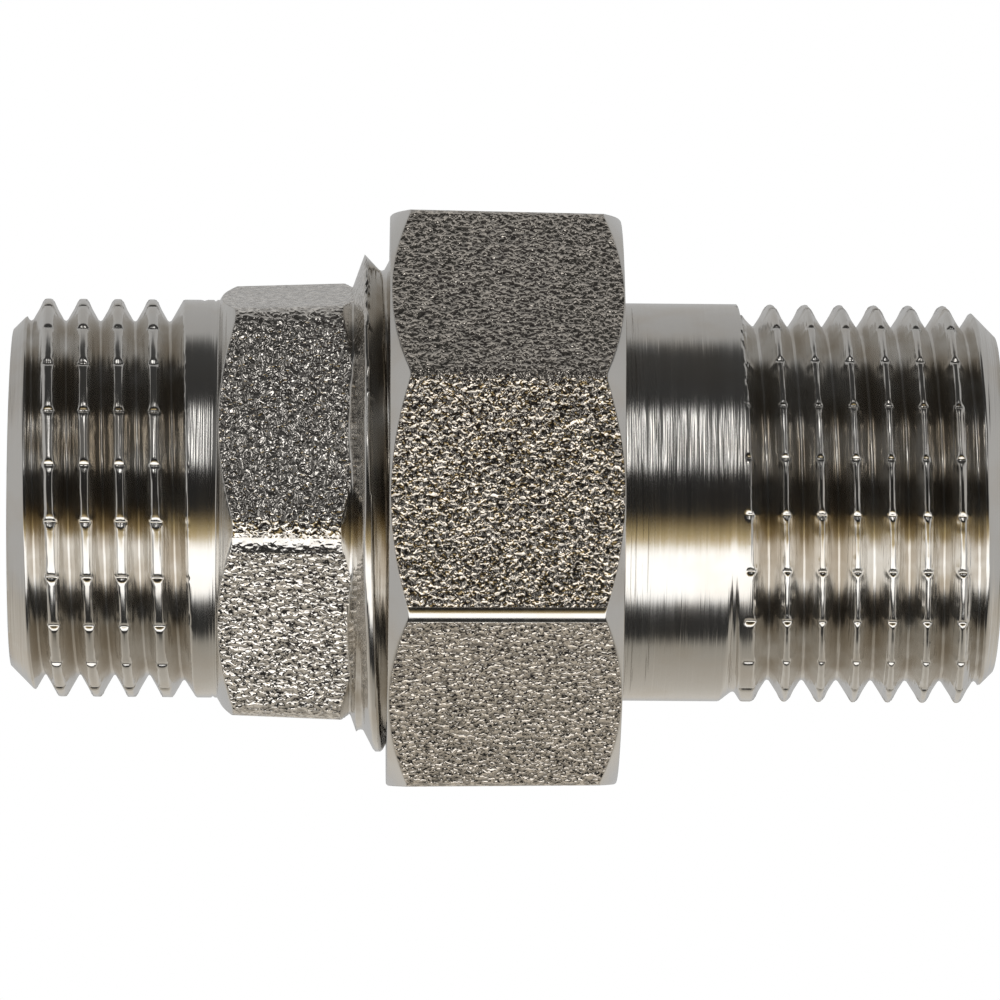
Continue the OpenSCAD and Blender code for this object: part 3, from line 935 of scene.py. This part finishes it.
@dataclass
class ThreadedEnd:
    """Left piece: pipe thread, hexagon, union thread, conical seat and bore."""

    at: Stations
    finish: Nickel = Nickel("nickel_end", forged_tone=(0.92, 0.87, 0.80), pit_tone=(0.5, 0.47, 0.43))
    rings: Rings = Rings(22, 16, math.radians(90 + 8.2 - 180 / 22), 0.6)
    crest_station: float = 1.8 * MM
    thread_zone_l: float = 10.45 * MM
    hex_x: float = -14.95 * MM
    hex_flat_r: float = 10.65 * MM
    hex_l: float = 6.78 * MM
    hex_turn: float = math.radians(8.9)
    hex_rounding: float = 2.0 * MM
    worn_turn: float = math.radians(103)
    worn_half_w: float = 0.6 * MM
    worn_skin: float = 0.011
    hex_draft: float = math.radians(1.9)
    hex_slope: float = math.tan(math.radians(30))
    valley_rise: float = 0.65 * MM
    lead_slope: float = math.tan(math.radians(19.4))
    union_crest: float = 0.79 * MM
    union_chamfer: float = 1.3 * MM
    seat_l: float = 4.5 * MM
    bore_r: float = 7.5 * MM
    bore_chamfer: float = 0.4 * MM
    edge: float = 0.06 * MM
    cover: float = 0.3 * MM
    line_x: float = 0.22 * MM
    line_half_w: float = 0.1 * MM
    line_depth: float = 0.08 * MM

    @property
    def cone_x(self) -> float:
        """Place where the union's cone leaves the hexagon's smaller flats."""
        return self.hex_x + self.hex_l

    def hexagon(self, x: np.ndarray, angle: np.ndarray) -> tuple[np.ndarray, np.ndarray]:
        """Works out the hexagon's skin with its two turned chamfers.

        Args:
            x: places along the axis.
            angle: angles from the top towards the front.

        Returns:
            The radii and the distances inside forged skin, in millimetres.
        """
        prism = ForgedPrism(6, self.hex_flat_r, self.hex_turn + math.pi / 2, self.hex_rounding,
                            self.hex_x, self.hex_draft)
        forged_r = prism.radius(x, angle)
        left = self.at.end_r + (x - self.hex_x) / self.hex_slope
        valley_x = self.cone_x + self.valley_rise * self.lead_slope
        right = self.hex_flat_r + self.valley_rise - (x - valley_x) / self.hex_slope
        chamfer = np.minimum(left, right)
        radius = soft_min(forged_r, chamfer, self.edge)
        beside = np.clip(1 - np.abs(x - self.hex_x + self.line_x) / self.line_half_w, 0, 1)
        shank = self.at.end_r - self.line_depth * beside
        radius = np.where(x <= self.hex_x, shank, np.maximum(radius, self.at.end_r))
        radius = np.where(x >= valley_x, 0.0, radius)
        off = np.abs((angle - self.worn_turn + math.pi) % TURN - math.pi) * forged_r
        worn = np.where(off < self.worn_half_w, self.worn_skin, 1.0)
        return radius, np.minimum((chamfer - forged_r) / MM, worn)

    def build(self) -> bpy.types.Object:
        """Builds the piece.

        Returns:
            The piece.
        """
        at = self.at
        material = self.finish.build()
        skin = Skin("threaded_end_body", self.rings)
        zone_end_x = at.left_end_x + self.thread_zone_l
        Thread(at.left_end_x, zone_end_x, at.end_r, at.end_root_r, at.left_end_x + self.crest_station,
               at.end_face_r, 1.0, at.end_r + MM, 0.0,
               crest_flat=0.33 * MM, root_flat=0.14 * MM, flank_slope=0.575, rounding=0.09 * MM,
               fade_out_turn=4.2, fade_out_turns=1.1, runout_slope=1.0,
               notch_depth=0.16 * MM, notch_w=0.42 * MM, notch_swell=0.1 * MM,
               notch_start_x=at.left_end_x, notch_end_x=at.left_end_x + 8.3 * MM,
               chatter=0.12 * MM).cut(skin, material)
        hex_end_x = self.cone_x - self.cover
        line_x = self.hex_x - self.line_x
        stations = [zone_end_x, line_x - 1.2 * self.line_half_w, line_x - self.line_half_w, line_x,
                    line_x + self.line_half_w, self.hex_x - 0.03 * MM]
        stations += spread(self.hex_x, self.hex_x + 1.1 * MM, 22)
        stations += spread(self.hex_x + 1.4 * MM, hex_end_x - 0.3 * MM, 8)
        stations += [hex_end_x]
        skin.shaped(stations, self.hexagon)
        cone_start_q = self.hex_flat_r - self.cover / self.lead_slope
        union_end_q = at.union_r - self.union_chamfer
        Thread(hex_end_x, at.union_end_x, at.union_r, at.union_r - at.thread_h,
               self.cone_x + self.union_crest, cone_start_q, 1 / self.lead_slope,
               union_end_q, 1.0, per_turn=14, fade_in_turn=0.0, fade_in_turns=0.45,
               run_in_slope=0.95, run_in_turn=1.1, run_in_turns=0.4, rounding=0.12 * MM,
               cone_skin=0.012).cut(skin, material, self.hexagon)
        seat_end_x = at.union_end_x - self.seat_l
        mouth_r = self.bore_r + self.bore_chamfer
        skin.turned(softened([
            (at.union_end_x, union_end_q), (at.union_end_x, at.seat_r(at.union_end_x)),
            (seat_end_x, at.seat_r(seat_end_x)), (seat_end_x, self.bore_r),
            (at.left_end_x + self.bore_chamfer, self.bore_r), (at.left_end_x, mouth_r),
            (at.left_end_x, at.end_face_r)], self.edge))
        return skin.finish(material)


@dataclass
class Tailpiece:
    """Right piece: conical nose with its ring groove, collar, shank, pipe thread and keyed bore."""

    at: Stations
    finish: Nickel = Nickel("nickel_tail", line_depth=0.14 * MM)
    rings: Rings = Rings(22, 16, math.radians(90 + 4.7 - 180 / 22), 0.6)
    thread_l: float = 13.55 * MM
    thread_cover: float = 1.4 * MM
    crest_station: float = 1.75 * MM
    collar_l: float = 3.1 * MM
    ride_r: float = 10.25 * MM
    ride_short: float = 0.03 * MM
    ring_d: float = 1.5 * MM
    ring_r: float = 9.528 * MM
    ring_slack: float = 0.1 * MM
    nose_bore_r: float = 7.5 * MM
    bore_r: float = 7.75 * MM
    nose_bore_l: float = 10.0 * MM
    bore_chamfer: float = 0.4 * MM
    lug_half: float = math.radians(10)
    lug_h: float = 1.4 * MM
    lug_inset: float = 1.0 * MM
    lug_l: float = 8.0 * MM
    edge: float = 0.06 * MM

    def keyed_bore(self, x: np.ndarray, angle: np.ndarray) -> tuple[np.ndarray, np.ndarray]:
        """Works out the nose bore with its two key lugs.

        Args:
            x: places along the axis.
            angle: angles from the top towards the front.

        Returns:
            The radii and the distances inside forged skin, which are below zero throughout.
        """
        off = np.abs((angle + math.pi / 2) % math.pi - math.pi / 2)
        start = self.at.nose_x + self.lug_inset
        along = np.minimum(x - start, start + self.lug_l - x) / (0.1 * MM)
        across = (self.lug_half - off) / math.radians(0.8)
        plateau = np.clip(np.minimum(along, across) + 0.5, 0, 1)
        return self.nose_bore_r - self.lug_h * plateau, np.full_like(x, -1.0)

    def build(self) -> bpy.types.Object:
        """Builds the piece.

        Returns:
            The piece.
        """
        at = self.at
        material = self.finish.build()
        skin = Skin("tailpiece_body", self.rings)
        thread_x = at.right_end_x - self.thread_l
        zone_x = thread_x - self.thread_cover
        collar_x = at.union_end_x + 0.3 * MM
        collar_end_x = collar_x + self.collar_l
        ride_end_x = at.nut_end_x - self.ride_short
        groove_r = self.ring_r - self.ring_d / 2
        groove_x = at.ring_mid_x - self.ring_d / 2 - self.ring_slack
        groove_end_x = at.ring_mid_x + self.ring_d / 2 + self.ring_slack
        chamfer = 0.3 * MM
        skin.turned(softened([
            (at.nose_x, self.nose_bore_r), (at.nose_x, at.nose_r(at.nose_x) - chamfer),
            (at.nose_x + chamfer, at.nose_r(at.nose_x + chamfer)), (groove_x, at.nose_r(groove_x)),
            (groove_x, groove_r), (groove_end_x, groove_r), (groove_end_x, at.nose_r(groove_end_x)),
            (collar_x, at.nose_r(collar_x)), (collar_x, at.collar_r - chamfer),
            (collar_x + chamfer, at.collar_r), (collar_end_x, at.collar_r),
            (collar_end_x, self.ride_r), (ride_end_x, self.ride_r), (ride_end_x, at.end_r),
            (zone_x, at.end_r)], self.edge))
        Thread(zone_x, at.right_end_x, at.end_r, at.end_root_r, thread_x + self.crest_station,
               at.end_r + MM, 0.0, at.end_face_r, 1.0,
               crest_flat=0.16 * MM, root_flat=0.14 * MM, flank_slope=0.649, rounding=0.11 * MM,
               fade_in_turn=-0.95, fade_in_turns=0.85, run_in_slope=1.3, run_in_turn=-0.35,
               run_in_turns=0.8, notch_depth=0.15 * MM, notch_w=0.4 * MM, notch_swell=0.1 * MM,
               notch_start_x=thread_x + 0.2 * MM, notch_end_x=at.right_end_x,
               chatter=0.12 * MM, seed=8).cut(skin, material)
        step_x = at.nose_x + self.nose_bore_l
        mouth_r = self.bore_r + self.bore_chamfer
        skin.turned(softened([
            (at.right_end_x, at.end_face_r), (at.right_end_x, mouth_r),
            (at.right_end_x - self.bore_chamfer, self.bore_r),
            (step_x + self.bore_r - self.nose_bore_r, self.bore_r),
            (step_x, self.nose_bore_r)], self.edge))
        lug_x = at.nose_x + self.lug_inset
        lug_end_x = lug_x + self.lug_l
        stations = [at.nose_x, lug_x - 0.1 * MM, lug_x - 0.05 * MM, lug_x + 0.05 * MM, lug_x + 0.1 * MM]
        stations += spread(lug_x + 1 * MM, lug_end_x - 1 * MM, 6)
        stations += [lug_end_x - 0.1 * MM, lug_end_x - 0.05 * MM, lug_end_x + 0.05 * MM, step_x]
        skin.shaped(stations, self.keyed_bore)
        return skin.finish(material)


@dataclass
class UnionNut:
    """Octagonal nut with its female thread, thread relief and web."""

    at: Stations
    finish: Nickel = Nickel("nickel_nut", line_depth=0.02 * MM, grains=4000.0, grain_depth=0.18 * MM,
                            forged_tone=(0.80, 0.73, 0.64))
    rings: Rings = Rings(8, 44, 0.0, 0.75)
    draft: float = math.radians(0.8)
    rounding: float = 0.9 * MM
    chamfer_slope: float = 1 / math.tan(math.radians(50))
    chamfer_left: float = 0.1 * MM
    chamfer_right: float = 0.05 * MM
    worn_turn: float = math.radians(112.5)
    worn_half_w: float = 0.4 * MM
    union_crest_x: float = -7.38 * MM
    thread_gap: float = 0.1 * MM
    relief_x: float = 1.4 * MM
    relief_depth: float = 0.05 * MM
    web_x: float = 3.2 * MM
    hole_r: float = 10.6 * MM
    hole_chamfer: float = 0.2 * MM
    edge: float = 0.06 * MM

    def octagon(self, x: np.ndarray, angle: np.ndarray) -> tuple[np.ndarray, np.ndarray]:
        """Works out the octagon's skin with its two turned chamfers.

        Args:
            x: places along the axis.
            angle: angles from the top towards the front.

        Returns:
            The radii and the distances inside forged skin, in millimetres.
        """
        at = self.at
        prism = ForgedPrism(8, at.nut_flat_r, math.pi / 8, self.rounding, at.nut_x, -self.draft)
        forged_r = prism.radius(x, angle)
        narrow_r = at.nut_flat_r - (at.nut_end_x - at.nut_x) * math.tan(self.draft)
        left = at.nut_flat_r - self.chamfer_left + (x - at.nut_x) / self.chamfer_slope
        right = narrow_r - self.chamfer_right + (at.nut_end_x - x) / self.chamfer_slope
        chamfer = np.minimum(left, right)
        off = (angle - self.worn_turn + math.pi) % TURN - math.pi
        worn = (np.abs(off) * forged_r - self.worn_half_w) / MM
        return soft_min(forged_r, chamfer, self.edge), np.minimum((chamfer - forged_r) / MM, worn)

    def build(self) -> bpy.types.Object:
        """Builds the piece.

        Returns:
            The piece.
        """
        at = self.at
        material = self.finish.build()
        skin = Skin("union_nut_body", self.rings)
        zone = 1.4 * MM
        stations = spread(at.nut_x, at.nut_x + zone, 26)
        stations += spread(at.nut_x + zone, at.nut_end_x - zone, 12)[1:-1]
        stations += spread(at.nut_end_x - zone, at.nut_end_x, 26)
        skin.shaped(stations, self.octagon)
        crest_r = at.union_r - at.thread_h + self.thread_gap
        root_r = at.union_r + self.thread_gap
        relief_r = root_r + self.relief_depth
        relief_start_x = self.relief_x + relief_r - crest_r
        left_r = at.nut_flat_r - self.chamfer_left
        narrow_r = at.nut_flat_r - (at.nut_end_x - at.nut_x) * math.tan(self.draft)
        skin.turned([(at.nut_x, left_r), (at.nut_x, relief_r)])
        Thread(at.nut_x, relief_start_x, -crest_r, -root_r, self.union_crest_x - at.pitch / 2,
               -relief_r, 1.0, -relief_r, 1.0, per_turn=12, rounding=0.15 * MM,
               root_flat=0.32 * MM).cut(skin, material)
        skin.turned(softened([
            (relief_start_x, relief_r), (self.web_x, relief_r), (self.web_x, self.hole_r),
            (at.nut_end_x - self.hole_chamfer, self.hole_r),
            (at.nut_end_x, self.hole_r + self.hole_chamfer),
            (at.nut_end_x, narrow_r - self.chamfer_right)], self.edge))
        return skin.finish(material)


@dataclass
class Seal:
    """O-ring with the fine parting line that its mould leaves."""

    at: Stations
    finish: Rubber = Rubber()
    rings: Rings = Rings(8, 24, 0.0, 0.0)
    ring_d: float = 1.5 * MM
    flash_h: float = 0.02 * MM
    flash_half: float = math.radians(7)
    steps: int = 48

    def build(self) -> bpy.types.Object:
        """Builds the piece.

        Returns:
            The piece.
        """
        outer_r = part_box("seat_o_ring")[1].z
        middle_r = outer_r - self.ring_d / 2
        skin = Skin("seat_o_ring_body", self.rings)
        points = []
        for i in range(self.steps + 1):
            turn = TURN * i / self.steps
            from_flash = abs((turn + math.pi / 2) % math.pi - math.pi / 2)
            flash = max(0.0, 1 - from_flash / self.flash_half)
            radius = self.ring_d / 2 - self.flash_h * (1 - flash)
            points.append((self.at.ring_mid_x + radius * math.sin(turn), middle_r + radius * math.cos(turn)))
        points[-1] = points[0]
        skin.turned(points)
        return skin.finish(self.finish.build())


# ---------------------------------------------------------------- studio


@dataclass(frozen=True)
class Band:
    """One stop of the light round the object's axis, in degrees from the back over the top."""

    turn: float
    light: tuple[float, float, float]


def grey(turn: float, light: float) -> Band:
    """Makes a neutral stop of the surrounding light."""
    return Band(turn, (light, light, light))


@dataclass
class Studio:
    """Pale floor, surrounding soft light with its dark flags, and camera."""

    camera_distance: float = 0.45
    camera_azimuth: float = math.radians(-1.0)
    camera_elevation: float = math.radians(-1.2)
    camera_roll: float = math.radians(0.43)
    view_w: float = 52.6 * MM
    shift: tuple[float, float] = (-0.003, 0.001)
    floor_size: float = 3.0
    floor_gap: float = 2.0 * MM
    side_light: float = 0.55
    side_reach: tuple[float, float] = (0.78, 0.92)
    key_light: float = 2.6
    key_half_w: tuple[float, float] = (0.0, 0.12)
    bands: tuple[Band, ...] = (
        grey(0, 0.50), grey(14, 0.50), grey(20, 0.50), grey(70, 0.46), grey(80, 0.1), grey(86, 0.06),
        grey(120, 0.04), grey(131, 0.16), grey(158, 0.16), grey(165, 0.02), grey(188, 0.02),
        Band(193, (0.16, 0.12, 0.06)), Band(204, (0.66, 0.52, 0.26)),
        grey(210, 1.7), grey(238, 1.7), grey(244, 0.1), grey(250, 0.025),
        grey(266, 0.03), Band(274, (0.40, 0.38, 0.34)), Band(300, (0.52, 0.49, 0.44)),
        Band(337, (0.68, 0.65, 0.60)), grey(348, 0.55), grey(360, 0.50))
    key_bands: tuple[Band, ...] = (grey(0, 0), grey(124, 0), grey(131, 1), grey(158, 1), grey(165, 0))

    def ramp(self, graph: Graph, place: Socket, bands: Sequence[Band]) -> Socket:
        """Adds a colour ramp.

        Args:
            graph: the world's graph.
            place: the place on the ramp, from 0 to 1.
            bands: the ramp's stops.

        Returns:
            The ramp's colour.
        """
        node = graph.node("ShaderNodeValToRGB", {0: place})
        stops = node.color_ramp.elements
        for band in bands[2:]:
            stops.new(band.turn / 360)
        for stop, band in zip(stops, bands):
            stop.position = band.turn / 360
            stop.color = (*band.light, 1)
        return node.outputs[0]

    def light(self) -> None:
        """Builds the surrounding light, which the camera sees as plain white."""
        world = bpy.data.worlds.new("studio_light")
        world.use_nodes = True
        world.node_tree.nodes.clear()
        graph = Graph(world.node_tree)
        heading = graph.node("ShaderNodeTexCoord").outputs["Object"]
        heading = graph.node("ShaderNodeVectorMath", {0: heading}, operation="NORMALIZE").outputs[0]
        x, y, z = graph.node("ShaderNodeSeparateXYZ", {0: heading}).outputs
        turn = graph.math("DIVIDE", graph.math("ARCTAN2", z, y), TURN)
        turn = graph.math("FRACT", graph.math("ADD", turn, 1.0))
        aside = graph.math("ABSOLUTE", x)
        around = self.ramp(graph, turn, self.bands)
        key = graph.math("MULTIPLY", self.ramp(graph, turn, self.key_bands),
                         graph.math("SUBTRACT", 1.0, graph.ease(aside, *self.key_half_w)))
        around = graph.mix(graph.ease(aside, *self.side_reach), around, (self.side_light,) * 3 + (1,))
        around = graph.mix(key, around, (self.key_light,) * 3 + (1,))
        seen = graph.node("ShaderNodeBackground", {"Color": (1, 1, 1, 1)})
        lit = graph.node("ShaderNodeBackground", {"Color": around})
        path = graph.node("ShaderNodeLightPath").outputs["Is Camera Ray"]
        choice = graph.node("ShaderNodeMixShader", {0: path, 1: lit.outputs[0], 2: seen.outputs[0]})
        graph.node("ShaderNodeOutputWorld", {"Surface": choice.outputs[0]})
        bpy.context.scene.world = world

    def floor(self, floor_z: float) -> None:
        """Lays the pale floor.

        Args:
            floor_z: the height of the object's lowest point.
        """
        half = self.floor_size / 2
        mesh = bpy.data.meshes.new("floor")
        low_z = floor_z - self.floor_gap
        corners = [(-half, -half, low_z), (half, -half, low_z), (half, half, low_z), (-half, half, low_z)]
        mesh.from_pydata(corners, [], [(0, 1, 2, 3)])
        material = bpy.data.materials.new("pale_floor")
        material.use_nodes = True
        material.node_tree.nodes.clear()
        graph = Graph(material.node_tree)
        pale = graph.node("ShaderNodeEmission", {"Color": (1, 1, 1, 1), "Strength": 1.0})
        clear = graph.node("ShaderNodeBsdfTransparent")
        behind = graph.node("ShaderNodeNewGeometry").outputs["Backfacing"]
        choice = graph.node("ShaderNodeMixShader", {0: behind, 1: pale.outputs[0], 2: clear.outputs[0]})
        graph.node("ShaderNodeOutputMaterial", {"Surface": choice.outputs[0]})
        mesh.materials.append(material)
        floor = bpy.data.objects.new("floor", mesh)
        floor.visible_glossy = False
        floor.visible_diffuse = False
        floor.visible_shadow = False
        bpy.context.scene.collection.objects.link(floor)
        floor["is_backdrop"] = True

    def camera(self) -> None:
        """Sets the camera up in front of the object."""
        data = bpy.data.cameras.new("camera")
        data.sensor_width = 36
        data.lens = data.sensor_width * self.camera_distance / self.view_w
        data.shift_x, data.shift_y = self.shift
        data.clip_start = 0.01
        camera = bpy.data.objects.new("camera", data)
        aim = (Matrix.Rotation(self.camera_azimuth, 4, "Z") @ Matrix.Rotation(-self.camera_elevation, 4, "X"))
        upright = Matrix.Rotation(math.pi / 2, 4, "X") @ Matrix.Rotation(self.camera_roll, 4, "Z")
        camera.matrix_world = aim @ Matrix.Translation((0, -self.camera_distance, 0)) @ upright
        bpy.context.scene.collection.objects.link(camera)
        bpy.context.scene.camera = camera

    def build(self) -> None:
        """Builds the studio."""
        self.camera()
        self.light()
        self.floor(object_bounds()[0][2])
        bpy.context.scene.view_settings.view_transform = "Standard"


def main() -> None:
    """Builds the fitting piece by piece around the frame."""
    logging.basicConfig(level=logging.INFO, format="%(name)s: %(message)s")
    at = Stations()
    for node, body, maker in (
            ("threaded_end", "threaded_end", ThreadedEnd(at)), ("tailpiece", "tailpiece", Tailpiece(at)),
            ("union_nut", "union_nut", UnionNut(at)), ("seat_o_ring", "tailpiece", Seal(at))):
        piece = maker.build()
        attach(piece, body)
        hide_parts(node)
    Studio().build()


if __name__ == "__main__":
    main()
